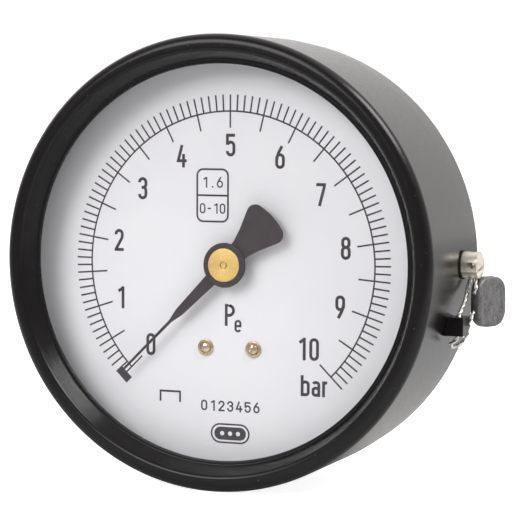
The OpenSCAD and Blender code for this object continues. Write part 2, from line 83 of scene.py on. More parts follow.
RING_R = (ring_high.x - ring_low.x) / 2 / MM
RING_TOP = depth(ring_low.y)
RING_BACK = depth(ring_high.y)
CASE_BACK = depth(case_high.y)

# ---- Mesh helpers ----

SHARP = 32


def new_piece(name, bm, material, body="root", replaces=(), sharp=SHARP):
    """Makes an object of a bmesh that is already in the row frame, and lets it ride on a body."""
    bmesh.ops.remove_doubles(bm, verts=bm.verts, dist=1e-8)
    bmesh.ops.recalc_face_normals(bm, faces=bm.faces)
    mesh = bpy.data.meshes.new(name)
    bm.to_mesh(mesh)
    bm.free()
    piece = bpy.data.objects.new(name, mesh)
    bpy.context.scene.collection.objects.link(piece)
    mesh.materials.append(material)
    soften(piece, sharp)
    if body:
        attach(piece, body)
    if replaces:
        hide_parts(*replaces)
    return piece


def soften(piece, sharp):
    """Smooth shading that keeps the edges sharper than an angle."""
    for face in piece.data.polygons:
        face.use_smooth = True
    piece.data.set_sharp_from_angle(angle=math.radians(sharp))


def arc(x, y, r, start, end, steps=12, squeeze=1.0):
    """Points of an arc about (x, y), angles in degrees; squeeze scales its height."""
    turns = [math.radians(start + (end - start) * i / steps) for i in range(steps + 1)]
    return [Vector((x + r * math.cos(t), y + squeeze * r * math.sin(t))) for t in turns]


def rounded(corners, step=8):
    """The closed outline through corners (x, y, radius), each turned with an arc."""
    outline = []
    for i, (x, y, radius) in enumerate(corners):
        here = Vector((x, y))
        if radius == 0:
            outline.append(here)
            continue
        back = (Vector(corners[i - 1][:2]) - here).normalized()
        ahead = (Vector(corners[(i + 1) % len(corners)][:2]) - here).normalized()
        half = back.angle(ahead) / 2
        centre = here + (back + ahead).normalized() * radius / math.sin(half)
        first = here + back * radius / math.tan(half) - centre
        last = here + ahead * radius / math.tan(half) - centre
        sweep = math.atan2(first.x * last.y - first.y * last.x, first.dot(last))
        steps = max(2, math.ceil(math.degrees(abs(sweep)) / step))
        for k in range(steps + 1):
            outline.append(centre + Matrix.Rotation(sweep * k / steps, 2) @ first)
    return outline


def lathe_mesh(profile, place, turns=128):
    """A closed profile of (radius, height) turned about the placing matrix's z axis."""
    bm = bmesh.new()
    rings = []
    for i in range(turns):
        a = 2 * math.pi * i / turns
        rings.append([
            bm.verts.new(place @ Vector((p[0] * math.cos(a), p[0] * math.sin(a), p[1])))
            for p in profile
        ])
    for i in range(turns):
        here, ahead = rings[i], rings[(i + 1) % turns]
        for k in range(len(profile)):
            m = (k + 1) % len(profile)
            bm.faces.new((here[k], ahead[k], ahead[m], here[m]))
    bmesh.ops.remove_doubles(bm, verts=bm.verts, dist=1e-8)
    bmesh.ops.dissolve_degenerate(bm, edges=bm.edges, dist=1e-9)
    return bm


def box_mesh(bm, place, low, high):
    """Adds a box between two corners, in millimetres."""
    size = Vector(high) - Vector(low)
    middle = (Vector(high) + Vector(low)) / 2
    matrix = place @ Matrix.Translation(middle) @ Matrix.Diagonal((*size, 1))
    bmesh.ops.create_cube(bm, size=1, matrix=matrix)


def rod_cutter(place, radius, low, high, sides=64):
    """A scratch cylinder along the placing matrix's z axis, for cutting."""
    bm = bmesh.new()
    matrix = place @ Matrix.Translation((0, 0, (low + high) / 2))
    bmesh.ops.create_cone(
        bm, cap_ends=True, segments=sides, radius1=radius, radius2=radius,
        depth=high - low, matrix=matrix,
    )
    return scratch(bm)


def scratch(bm):
    """An object for a boolean that is deleted after use."""
    bmesh.ops.recalc_face_normals(bm, faces=bm.faces)
    mesh = bpy.data.meshes.new("scratch")
    bm.to_mesh(mesh)
    bm.free()
    thing = bpy.data.objects.new("scratch", mesh)
    bpy.context.scene.collection.objects.link(thing)
    return thing


def combine(piece, others, operation="DIFFERENCE"):
    """Applies a boolean with each scratch object, then deletes them."""
    for other in others:
        modifier = piece.modifiers.new("combine", "BOOLEAN")
        modifier.operation = operation
        modifier.solver = "EXACT"
        modifier.object = other
        bpy.context.view_layer.update()
        shape = piece.evaluated_get(bpy.context.evaluated_depsgraph_get())
        mesh = bpy.data.meshes.new_from_object(shape)
        piece.modifiers.clear()
        piece.data = mesh
        bpy.data.objects.remove(other)
    soften(piece, SHARP)


def even_normals(piece):
    """Flat faces keep their own normal beside a small round edge."""
    modifier = piece.modifiers.new("normals", "WEIGHTED_NORMAL")
    modifier.keep_sharp = True


def tube_mesh(bm, path, radius):
    """Adds a round tube along a path in the row frame; its side vector never flips."""
    sides = 10
    side = Vector((0, 0, 1))
    rings = []
    for i, here in enumerate(path):
        way = (path[min(i + 1, len(path) - 1)] - path[max(i - 1, 0)]).normalized()
        side = (side - side.dot(way) * way).normalized()
        across = way.cross(side)
        ring = []
        for k in range(sides):
            a = 2 * math.pi * k / sides
            ring.append(bm.verts.new(here + radius * (math.cos(a) * side + math.sin(a) * across)))
        rings.append(ring)
    for one, two in zip(rings, rings[1:]):
        for k in range(sides):
            m = (k + 1) % sides
            bm.faces.new((one[k], two[k], two[m], one[m]))
    bm.faces.new(rings[0])
    bm.faces.new(rings[-1])


# ---- Material helpers ----


class Finish:
    """A Principled material whose colour, roughness and relief come from noise in real units."""

    def __init__(self, name, metallic=0.0, roughness=0.5, **sockets):
        self.material = bpy.data.materials.new(name)
        self.material.use_nodes = True
        self.nodes = self.material.node_tree.nodes
        self.links = self.material.node_tree.links
        self.main = self.nodes["Principled BSDF"]
        self.main.inputs["Metallic"].default_value = metallic
        self.main.inputs["Roughness"].default_value = roughness
        for socket, value in sockets.items():
            self.main.inputs[socket.replace("_", " ")].default_value = value
        self.place = self.nodes.new("ShaderNodeTexCoord").outputs["Object"]

    def maths(self, operation, one, two=0.0):
        node = self.nodes.new("ShaderNodeMath")
        node.operation = operation
        for socket, value in zip(node.inputs, (one, two)):
            if isinstance(value, (int, float)):
                socket.default_value = value
            else:
                self.links.new(value, socket)
        return node.outputs[0]

    def moved(self, scale=(1, 1, 1), centre=(0, 0, 0), turn=(0, 0, 0)):
        """Object coordinates about a centre, turned and scaled along each axis."""
        shift = self.nodes.new("ShaderNodeVectorMath")
        shift.operation = "SUBTRACT"
        self.links.new(self.place, shift.inputs[0])
        shift.inputs[1].default_value = centre
        node = self.nodes.new("ShaderNodeMapping")
        node.inputs["Scale"].default_value = scale
        node.inputs["Rotation"].default_value = [math.radians(t) for t in turn]
        self.links.new(shift.outputs[0], node.inputs["Vector"])
        return node.outputs[0]

    def noise(self, size, detail=3.0, place=None):
        """Noise whose features are about size millimetres wide."""
        node = self.nodes.new("ShaderNodeTexNoise")
        node.inputs["Scale"].default_value = 1 / (size * MM)
        node.inputs["Detail"].default_value = detail
        self.links.new(place or self.place, node.inputs["Vector"])
        return node.outputs["Fac"]

    def span(self, fac, low, high, start=0.3, end=0.7):
        """Maps start..end of a factor to low..high."""
        node = self.nodes.new("ShaderNodeMapRange")
        node.inputs["From Min"].default_value = start
        node.inputs["From Max"].default_value = end
        node.inputs["To Min"].default_value = low
        node.inputs["To Max"].default_value = high
        self.links.new(fac, node.inputs["Value"])
        return node.outputs["Result"]

    def rings(self, pitch, centre):
        """Waves of turning marks about the dial's axis through centre."""
        place = self.moved(centre=centre, scale=(1, 0, 1))
        node = self.nodes.new("ShaderNodeVectorMath")
        node.operation = "LENGTH"
        self.links.new(place, node.inputs[0])
        turns = self.maths("MULTIPLY", node.outputs["Value"], 2 * math.pi / (pitch * MM))
        # The node's own third value, 0.5, is what gets added.
        return self.maths("MULTIPLY_ADD", self.maths("SINE", turns), 0.5)

    def colour(self, fac, dark, light, start=0.3, end=0.7):
        """Blends two colours by a factor; a second call lays its light colour over the first."""
        node = self.nodes.new("ShaderNodeMix")
        node.data_type = "RGBA"
        under, over = [s for s in node.inputs if s.type == "RGBA"]
        under.default_value = (*dark, 1)
        over.default_value = (*light, 1)
        before = self.main.inputs["Base Color"].links
        if before:
            self.links.new(before[0].from_socket, under)
        self.links.new(self.span(fac, 0, 1, start, end), node.inputs[0])
        result = [s for s in node.outputs if s.type == "RGBA"][0]
        self.links.new(result, self.main.inputs["Base Color"])

    def rough(self, fac, low, high):
        self.links.new(self.span(fac, low, high), self.main.inputs["Roughness"])

    def relief(self, fac, height):
        """Bump of this height in millimetres; a second one adds to the first."""
        node = self.nodes.new("ShaderNodeBump")
        node.inputs["Distance"].default_value = height * MM
        self.links.new(fac, node.inputs["Height"])
        before = self.main.inputs["Normal"].links
        if before:
            self.links.new(before[0].from_socket, node.inputs["Normal"])
        self.links.new(node.outputs["Normal"], self.main.inputs["Normal"])


def enamel(name, dark, light, low, high, peel):
    """Stoved black enamel with a fine orange peel and a few specks of dust."""
    paint = Finish(name, IOR=1.36)
    paint.colour(paint.noise(1.4, detail=1), dark, light)
    paint.colour(paint.noise(0.45, detail=1), dark, (0.12, 0.11, 0.1), 0.77, 0.81)
    paint.rough(paint.noise(1.1, detail=1), low, high)
    paint.relief(paint.noise(0.35, detail=1), peel)
    return paint.material


def bare_metal(name, dark, light, low, high, grain=0.004, size=0.5):
    """Turned or stamped metal with a fine grain and a mottled tarnish."""
    metal = Finish(name, metallic=1.0)
    metal.colour(metal.noise(2.5), dark, light)
    metal.rough(metal.noise(size), low, high)
    metal.relief(metal.noise(size * 0.4, place=metal.moved(scale=(1, 6, 1))), grain)
    return metal.material


def matt_black(name, dark, light, low, high, grain=0.01):
    black = Finish(name, Specular_IOR_Level=0.2)
    black.colour(black.noise(1.5), dark, light)
    black.rough(black.noise(0.8), low, high)
    black.relief(black.noise(0.15, detail=1), grain)
    return black.material


def lacquer():
    """Matt white dial lacquer."""
    white = Finish("dial_lacquer")
    white.colour(white.noise(9), (0.85, 0.848, 0.862), (0.868, 0.866, 0.876))
    white.rough(white.noise(2), 0.45, 0.55)
    white.relief(white.noise(0.2, detail=1), 0.002)
    return white.material


def clear_glass():
    """Flat instrument glass. Light on its way to the dial passes straight through."""
    glass = Finish("window_glass", roughness=0.0, IOR=1.25, Transmission_Weight=1.0)
    glass.colour(glass.noise(15), (0.984, 0.984, 0.989), (0.992, 0.992, 0.995))
    clear = glass.nodes.new("ShaderNodeBsdfTransparent")
    clear.inputs["Color"].default_value = (0.965, 0.965, 0.975, 1)
    path = glass.nodes.new("ShaderNodeLightPath")
    mix = glass.nodes.new("ShaderNodeMixShader")
    straight = glass.maths("MAXIMUM", path.outputs["Is Shadow Ray"], path.outputs["Is Diffuse Ray"])
    glass.links.new(straight, mix.inputs[0])
    glass.links.new(glass.main.outputs[0], mix.inputs[1])
    glass.links.new(clear.outputs[0], mix.inputs[2])
    glass.links.new(mix.outputs[0], glass.nodes["Material Output"].inputs["Surface"])
    return glass.material


def turned_brass():
    """The pointer's cap and the arbor's end: yellow brass with fine turning marks and tarnish."""
    brass = Finish("cap_brass", metallic=1.0)
    brass.colour(brass.noise(0.4), (0.68, 0.47, 0.15), (0.84, 0.6, 0.23))
    brass.rough(brass.noise(0.4), 0.3, 0.46)
    brass.relief(brass.rings(0.3, DIAL.translation), 0.012)
    brass.relief(brass.noise(0.25), 0.015)
    return brass.material


def pressed_lead():
    """Dull lead with scratches that run up and down, and paler rubbed spots."""
    lead = Finish("seal_lead", metallic=0.55)
    scratches = lead.noise(0.8, place=lead.moved(scale=(1, 1, 0.3), turn=(0, 12, 0)))
    lead.colour(scratches, (0.085, 0.084, 0.086), (0.17, 0.167, 0.168))
    lead.colour(lead.noise(0.5), (0.1, 0.1, 0.1), (0.23, 0.22, 0.215), 0.52, 0.8)
    lead.rough(lead.noise(0.6), 0.4, 0.6)
    lead.relief(scratches, 0.05)
    lead.relief(lead.noise(1.4), 0.14)
    return lead.material


def floor_finish():
    """Pale floor that glows for the camera, so it runs into the white background, and fades out
    towards the viewer."""
    pale = Finish("floor", roughness=0.9, Emission_Color=(1, 1, 1, 1))
    seen = pale.nodes.new("ShaderNodeLightPath").outputs["Is Camera Ray"]
    pale.links.new(pale.span(seen, 0.05, 0.9, 0, 1), pale.main.inputs["Emission Strength"])
    pale.colour(pale.noise(80), (0.62, 0.62, 0.62), (0.64, 0.64, 0.64))
    split = pale.nodes.new("ShaderNodeSeparateXYZ")
    pale.links.new(pale.place, split.inputs[0])
    pale.links.new(pale.span(split.outputs["Y"], 0, 1, -0.32, -0.08), pale.main.inputs["Alpha"])
    return pale.material


BLACK_TONES = ((0.0025, 0.0018, 0.0018), (0.0035, 0.0026, 0.0026))
RING_PAINT = enamel("ring_enamel", *BLACK_TONES, 0.22, 0.26, 0.003)
CASE_PAINT = enamel("case_enamel", *BLACK_TONES, 0.2, 0.24, 0.003)
RUBBER = matt_black("gasket_rubber", (0.012, 0.012, 0.012), (0.02, 0.02, 0.02), 0.6, 0.8)
POINTER_BLACK = matt_black("pointer_black", (0.05, 0.042, 0.045), (0.064, 0.055, 0.059), 0.6, 0.7)
INK = matt_black("dial_ink", (0.056, 0.049, 0.054), (0.068, 0.06, 0.066), 0.6, 0.7, 0.003)
WHITE = lacquer()
GLASS = clear_glass()
CAP_BRASS = turned_brass()
LEAD = pressed_lead()
BRASS = bare_metal("brass_part", (0.58, 0.4, 0.17), (0.78, 0.58, 0.28), 0.28, 0.42)
STEM_BRASS = bare_metal("stem_brass", (0.58, 0.41, 0.19), (0.68, 0.5, 0.25), 0.24, 0.34, 0.001, 0.9)
TUBE_BRONZE = bare_metal("tube_bronze", (0.5, 0.29, 0.15), (0.7, 0.45, 0.26), 0.25, 0.4, size=1.2)
SPRING_BRONZE = bare_metal("spring_bronze", (0.6, 0.4, 0.22), (0.75, 0.54, 0.32), 0.25, 0.35)
STEEL = bare_metal("steel_part", (0.5, 0.5, 0.51), (0.64, 0.64, 0.64), 0.24, 0.36)
NICKEL = bare_metal("seal_nickel", (0.62, 0.57, 0.48), (0.84, 0.79, 0.7), 0.3, 0.42, 0.008)
SCREW_NICKEL = bare_metal("screw_nickel", (0.55, 0.44, 0.27), (0.74, 0.64, 0.46), 0.1, 0.2)
WIRE_STEEL = bare_metal("seal_wire_steel", (0.5, 0.48, 0.44), (0.8, 0.78, 0.73), 0.22, 0.38)

# ---- Finishes of the CAD nodes that stay ----

CAD_FINISHES = {
    "window": GLASS,
    "window_gasket": RUBBER,
    "dial": WHITE,
    "dial_spacers": BRASS,
    "pointer": POINTER_BLACK,
    "pinion_arbor": CAP_BRASS,
    "hairspring_collet": BRASS,
    "hairspring": SPRING_BRONZE,
    "hairspring_stud": BRASS,
    "front_plate": BRASS,
    "back_plate": BRASS,
    "plate_pillars": BRASS,
    "plate_screws": STEEL,
    "movement_screws": STEEL,
    "sector_gear": BRASS,
    "sector_arbor": STEEL,
    "sector_pin": STEEL,
    "link": BRASS,
    "link_pin": STEEL,
    "tube_tip": BRASS,
    "socket_gasket": RUBBER,
    "socket_screws": STEEL,
    "seal_washer": RUBBER,
}


def dress_cad_nodes():
    for name, material in CAD_FINISHES.items():
        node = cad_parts[name]
        for holder in node.material_slots:
            holder.material = material


# ---- Case and ring ----

SKIRT = 0.85
LIP_R = 43.55
LIP_TOP = 7.85
LIP_T = 0.85
CREST_W = 3.57
CONE_FOOT = 0.9
CASE_WALL = 1.0
CASE_RIM = 3.4
STEP_GAP = 0.3
STEP_IN = 0.4
SKIRT_GAP = 0.25
NECK_HOLE_R = 10.8
SOCKET_SCREW_X = 17
SOCKET_SCREW_HOLE_R = 2.2
SEAL_DEPTH = -12
SEAL_SIDE = CASE @ Matrix.Translation((0, 0, SEAL_DEPTH)) @ Matrix.Rotation(math.radians(90), 4, "Y")
SEAL_HOLE_R = 1.7
SEAL_THREAD_R = 1.5
NUT_R = 3
NUT_L = 3.3


def cover_ring():
    """Slip-on ring: skirt, round crest, inward cone and a lip over the glass."""
    profile = rounded([
        (RING_R, RING_BACK, 0.25),
        (RING_R, RING_TOP, 2.2),
        (RING_R - CREST_W, RING_TOP, 1.1),
        (LIP_R + CONE_FOOT, LIP_TOP, 0.35),
        (LIP_R, LIP_TOP, 0.3),
        (LIP_R, LIP_TOP - LIP_T, 0.1),
        (RING_R - SKIRT, LIP_TOP - LIP_T, 0),
        (RING_R - SKIRT, RING_BACK, 0.25),
    ])
    ring = new_piece(
        "ring_body", lathe_mesh(profile, CASE, 256), RING_PAINT,
        replaces=["cover_ring"],
    )
    combine(ring, [rod_cutter(SEAL_SIDE, SEAL_HOLE_R, RING_R - 4, RING_R + 2)])
    even_normals(ring)


def case_base():
    """Deep-drawn can with a round back edge, a step behind the ring and its holes."""
    step = RING_BACK - STEP_GAP
    rear_r = RING_R - STEP_IN
    front_r = RING_R - SKIRT - SKIRT_GAP
    profile = rounded([
        (0, CASE_BACK, 0),
        (rear_r, CASE_BACK, 3),
        (rear_r, step, 0.4),
        (front_r, step, 0.1),
        (front_r, CASE_RIM, 0.2),
        (front_r - CASE_WALL, CASE_RIM, 0.2),
        (front_r - CASE_WALL, step - CASE_WALL, 0.2),
        (rear_r - CASE_WALL, step - CASE_WALL, 0.2),
        (rear_r - CASE_WALL, CASE_BACK + CASE_WALL, 2),
        (0, CASE_BACK + CASE_WALL, 0),
    ])
    can = new_piece(
        "case_can", lathe_mesh(profile, CASE, 256), CASE_PAINT,
        replaces=["case_base"],
    )
    back = (CASE_BACK - 1, CASE_BACK + 2)
    holes = [rod_cutter(STEM, NECK_HOLE_R, *back, sides=96)]
    for x in (-SOCKET_SCREW_X, SOCKET_SCREW_X):
        place = STEM @ Matrix.Translation((x, 0, 0))
        holes.append(rod_cutter(place, SOCKET_SCREW_HOLE_R, *back))
    holes.append(rod_cutter(SEAL_SIDE, SEAL_THREAD_R, RING_R - 5, RING_R))
    combine(can, holes)
    even_normals(can)
    nut = rounded([
        (SEAL_THREAD_R, 0, 0.1),
        (NUT_R, 0, 0.3),
        (NUT_R, NUT_L, 0.05),
        (SEAL_THREAD_R, NUT_L, 0.1),
    ])
    inside = SEAL_SIDE @ Matrix.Translation((0, 0, front_r - CASE_WALL - NUT_L + 0.1))
    new_piece("case_boss", lathe_mesh(nut, inside, 48), CASE_PAINT)


# ---- Pointer's boss and cap ----

BOSS_R = 4.95
BOSS_LOW = 1.6
COLLAR_R = 3.6
BLADE_TOP = 3.1
BLADE_T = 0.5
BLADE_HOLE_R = 2.4
FLANGE_T = 0.4
CAP_R = 3.75
CAP_T = 0.45
CAP_LOW = BLADE_TOP + 0.2
SINK_DEEP = 0.36
ARBOR_R = 0.6


def pointer_boss():
    """Black boss with a round-edged flange over the blade and a seat for the cap."""
    profile = rounded([
        (ARBOR_R + 0.02, BOSS_LOW, 0),
        (COLLAR_R, BOSS_LOW, 0.15),
        (COLLAR_R, BLADE_TOP - BLADE_T, 0.05),
        (BLADE_HOLE_R, BLADE_TOP - BLADE_T, 0),
        (BLADE_HOLE_R, BLADE_TOP, 0),
        (BOSS_R, BLADE_TOP, 0.05),
        (BOSS_R, BLADE_TOP + FLANGE_T, 0.2),
        (CAP_R + 0.05, BLADE_TOP + FLANGE_T, 0.08),
        (CAP_R + 0.05, CAP_LOW, 0),
        (ARBOR_R + 0.02, CAP_LOW, 0),
    ])
    new_piece(
        "pointer_boss", lathe_mesh(profile, DIAL), POINTER_BLACK, "pointer_shaft",
        ["pointer_hub"],
    )


def brass_cap():
    """Brass cap with a broken edge and a shallow countersink round the arbor's end."""
    top = CAP_LOW + CAP_T
    profile = rounded([
        (ARBOR_R + 0.04, CAP_LOW, 0),
        (CAP_R, CAP_LOW, 0.03),
        (CAP_R, top, 0.2),
        (ARBOR_R + 0.24, top, 0.05),
        (ARBOR_R + 0.18, top - SINK_DEEP, 0.03),
        (ARBOR_R + 0.04, top - SINK_DEEP, 0),
    ])
    new_piece(
        "brass_cap", lathe_mesh(profile, DIAL), CAP_BRASS, "pointer_shaft",
        ["pointer_cap"],
    )


# ---- Dial screws ----

DIAL_SCREW = (5.7, -18.75)
SHANK_R = 0.9
FLANGE_R = 1.88
FLANGE_EDGE = 0.22
DOME_R = 1.24


def dial_screws():
    """Two slotted screws with a domed head on a thin flange."""
    foot = depth(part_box("dial_screws")[1].y)
    for side in (-1, 1):
        place = DIAL @ Matrix.Translation((DIAL_SCREW[0] * side, DIAL_SCREW[1], 0))
        head = [(0, foot), (SHANK_R, foot), (SHANK_R, 0.01), (FLANGE_R, 0.01)]
        head += arc(FLANGE_R - FLANGE_EDGE, 0.2, FLANGE_EDGE, 0, 90, 5)
        head += [(DOME_R + 0.12, 0.42), (DOME_R + 0.04, 0.32)]
        head += arc(0, 0.3, DOME_R, 0, 90, 12, 0.48)
        screw = new_piece(
            "dial_screw_" + ("left" if side < 0 else "right"), lathe_mesh(head, place, 64),
            SCREW_NICKEL, replaces=["dial_screws"],
        )
        slot = bmesh.new()
        turn = Matrix.Rotation(math.radians(35 if side < 0 else 70), 4, "Z")
        box_mesh(slot, place @ turn, (-2, -0.17, 0.5), (2, 0.17, 2))
        combine(screw, [scratch(slot)])


# ---- Print on the dial ----

INK_T = 0.02
# Strokes that cross differ this much in height, so that no two faces coincide.
LAYER = 0.004
SCALE_R = 33.9
TICK_OUT = 37.55
TICK_W = 0.36
MAJOR_IN = 30.2
BLOCK_IN = 35.6
BLOCK_OUT = 37.45
BLOCK_W = 3.5
ZERO_AT = 225.0
SWEEP = 270.0
FULL_SCALE = 10
NUMERAL = (2.25, 5.0, 0.68)
NUMERAL_PITCH = 2.75
FINE_LINE = 0.42
RANGE_FRAME = (-4.2, 15.2)
DOT_PLATE = (0.2, -37.85)


def add_stroke(bm, path, width, closed=False, high=INK_T):
    """Adds a printed line of this width along a path of 2-D points on the dial."""
    rails = []
    last = len(path) - 1
    for i, here in enumerate(path):
        ahead = path[(i + 1) % len(path)] if closed or i < last else None
        behind = path[i - 1] if closed or i > 0 else None
        way_out = (ahead - here if ahead is not None else here - behind).normalized()
        way_in = (here - behind if behind is not None else ahead - here).normalized()
        side_in = Vector((-way_in.y, way_in.x))
        side_out = Vector((-way_out.y, way_out.x))
        side = (side_in + side_out).normalized()
        side *= width / 2 / max(0.45, side.dot(side_in))
        rails.append([
            bm.verts.new(DIAL @ Vector((p.x, p.y, z)))
            for z in (0, high)
            for p in (here + side, here - side)
        ])
    for i in range(len(path) if closed else last):
        a, b = rails[i], rails[(i + 1) % len(path)]
        for k, m in ((0, 1), (1, 3), (3, 2), (2, 0)):
            bm.faces.new((a[k], a[m], b[m], b[k]))
    if not closed:
        for end in (rails[0], rails[-1]):
            bm.faces.new((end[0], end[1], end[3], end[2]))


def add_patch(bm, outline, low=0.0, high=INK_T):
    """Adds a filled printed shape."""
    bottom = [bm.verts.new(DIAL @ Vector((p[0], p[1], low))) for p in outline]
    top = [bm.verts.new(DIAL @ Vector((p[0], p[1], high))) for p in outline]
    bm.faces.new(bottom)
    bm.faces.new(top)
    for i in range(len(outline)):
        k = (i + 1) % len(outline)
        bm.faces.new((bottom[i], bottom[k], top[k], top[i]))


def polar(r, angle):
    return Vector((r * math.cos(math.radians(angle)), r * math.sin(math.radians(angle))))


def value_angle(value):
    return ZERO_AT - SWEEP * value / FULL_SCALE


def scale_print():
    """Scale arc, a tick each tenth, longer ones each half, and the block behind zero."""
    bm = bmesh.new()
    add_stroke(bm, arc(0, 0, SCALE_R, ZERO_AT, ZERO_AT - SWEEP, 270), TICK_W)
    divisions = FULL_SCALE * 10
    for i in range(divisions + 1):
        angle = value_angle(i / 10)
        inner = MAJOR_IN if i % 5 == 0 else SCALE_R
        outer = BLOCK_IN if i == 0 else TICK_OUT
        add_stroke(bm, [polar(inner, angle), polar(outer, angle)], TICK_W, high=INK_T + LAYER)
    block = [polar(BLOCK_IN, ZERO_AT), polar(BLOCK_OUT, ZERO_AT)]
    add_stroke(bm, block, BLOCK_W, high=INK_T + 2 * LAYER)
    new_piece("scale_print", bm, INK)


def bowl(top, bottom, r, squeeze=1.0):
    """Closed loop with round ends between two heights."""
    upper = arc(0, top - r * squeeze, r, 0, 180, 12, squeeze)
    lower = arc(0, bottom + r * squeeze, r, 180, 360, 12, squeeze)
    return upper + lower


def glyph(letter, w, h, s):
    """Strokes (path, closed) of a condensed letter about its middle: width w, height h, line s."""
    x = (w - s) / 2
    y = (h - s) / 2
    edge = h / 2
    mid = 0.04 * h
    r = x

    def v(a, b):
        return Vector((a, b))

    if letter == "0":
        return [(bowl(y, -y, r), True)]
    if letter == "1":
        return [
            ([v(0.2 * w, -edge), v(0.2 * w, edge)], False),
            ([v(0.26 * w, edge - 0.36 * s), v(-0.3 * w, edge - 0.22 * h)], False),
        ]
    if letter == "2":
        top = arc(0, y - r, r, 190, 0, 14)
        turn = [v(x * 0.97, 0.17 * h), v(x * 0.78, 0.07 * h)]
        return [(top + turn + [v(-x, -y + 0.02 * h), v(-x, -y), v(w / 2, -y)], False)]
    if letter == "3":
        upper = arc(0, y - r, r, 185, 0, 14) + arc(x - 0.3 * w, mid + 0.3 * w, 0.3 * w, 0, -90, 6)
        lower = [v(-0.08 * w, mid)] + arc(x - 0.3 * w, mid - 0.3 * w, 0.3 * w, 90, 0, 6)
        return [
            (upper + [v(-0.12 * w, mid)], False),
            (lower + arc(0, r - y, r, 0, -185, 14), False),
        ]
    if letter == "4":
        bar = -0.2 * h
        return [
            ([v(0.06 * w, edge), v(-x, bar), v(0.56 * w, bar)], False),
            ([v(0.22 * w, 0.1 * h), v(0.22 * w, -edge)], False),
        ]
    if letter == "5":
        shoulder = 0.13 * h
        return [
            ([v(w / 2 - 0.04 * w, y), v(-x, y), v(-x, shoulder - 0.12 * h)], False),
            (arc(0, shoulder - r, r, 165, 0, 12) + arc(0, r - y, r, 0, -185, 14), False),
        ]
    if letter in "69":
        ring = bowl(0.12 * h, -y, r)
        back = [v(0.2 * w, edge), v(-0.16 * w, 0.2 * h), v(-0.8 * x, 0.03 * h), v(-x, -0.12 * h)]
        strokes = [(ring, True), (back, False)]
        if letter == "9":
            strokes = [([-p for p in path], closed) for path, closed in strokes]
        return strokes
    if letter == "7":
        return [([v(-w / 2, y), v(x, y), v(x * 0.94, y - 0.1 * h), v(-0.16 * w, -edge)], False)]
    if letter == "8":
        return [(bowl(y, mid, r * 0.93), True), (bowl(mid, -y, r), True)]
    if letter == ".":
        return [([v(-0.6 * s, -edge + 0.6 * s), v(0.6 * s, -edge + 0.6 * s)], False)]
    if letter == "-":
        return [([v(-0.3 * w, 0), v(0.3 * w, 0)], False)]
    if letter == "P":
        eye = 0.5 * h
        loop = [v(-x, y), v(x - 0.25 * eye, y)]
        loop += arc(x - 0.45 * eye + s / 2 * 0.3, y - 0.45 * eye, 0.45 * eye, 90, -90, 12)
        return [([v(-x, -edge), v(-x, edge)], False), (loop + [v(-x, y - 0.9 * eye)], False)]
    if letter == "e":
        open_loop = [v(-x, 0), v(x, 0)] + arc(0, y - r, r, 0, 180, 10)
        return [(open_loop + arc(0, r - y, r, 180, 335, 12), False)]
    if letter == "b":
        return [([v(-x, -edge), v(-x, edge)], False), (bowl(0.18 * h, -y, r, 0.75), True)]
    if letter == "a":
        top = 0.18 * h
        hook = arc(0, top - 0.7 * r, r, 160, 0, 10, 0.7) + [v(x, -edge)]
        return [(hook, False), (bowl(-0.09 * h, -y, r, 0.62), True)]
    if letter == "r":
        top = 0.18 * h
        arm = arc(x * 0.75, top - 0.9 * r, r * 1.6, 180, 82, 8, 0.62)
        return [([v(-x, -edge), v(-x, top + s / 2)], False), (arm, False)]
    raise ValueError(letter)


def write(bm, text, x, y, size, pitch):
    """Writes text centred on (x, y); size is (width, height, line) of a letter."""
    for i, letter in enumerate(text):
        shift = Vector((x + (i - (len(text) - 1) / 2) * pitch, y))
        for k, (path, closed) in enumerate(glyph(letter, *size)):
            add_stroke(bm, [p + shift for p in path], size[2], closed, high=INK_T + LAYER * k)


NUMERAL_PLACES = {
    "0": (-19.2, -18.65),
    "1": (-26.6, -8.3),
    "2": (-27.1, 4.7),
    "3": (-21.25, 16.5),
    "4": (-11.75, 23.8),
    "5": (0.1, 26.4),
    "6": (11.8, 23.8),
    "7": (21.4, 15.85),
    "8": (27.2, 4.3),
    "9": (26.0, -8.5),
    "10": (18.65, -18.1),
}


def numeral_print():
    bm = bmesh.new()
    for text, (x, y) in NUMERAL_PLACES.items():
        write(bm, text, x, y, NUMERAL, NUMERAL_PITCH)
    new_piece("numeral_print", bm, INK)


def frame_outline(x, y, w, h, r):
    corners = [(x - w / 2, y - h / 2, r), (x + w / 2, y - h / 2, r)]
    corners += [(x + w / 2, y + h / 2, r), (x - w / 2, y + h / 2, r)]
    return rounded(corners, 15)


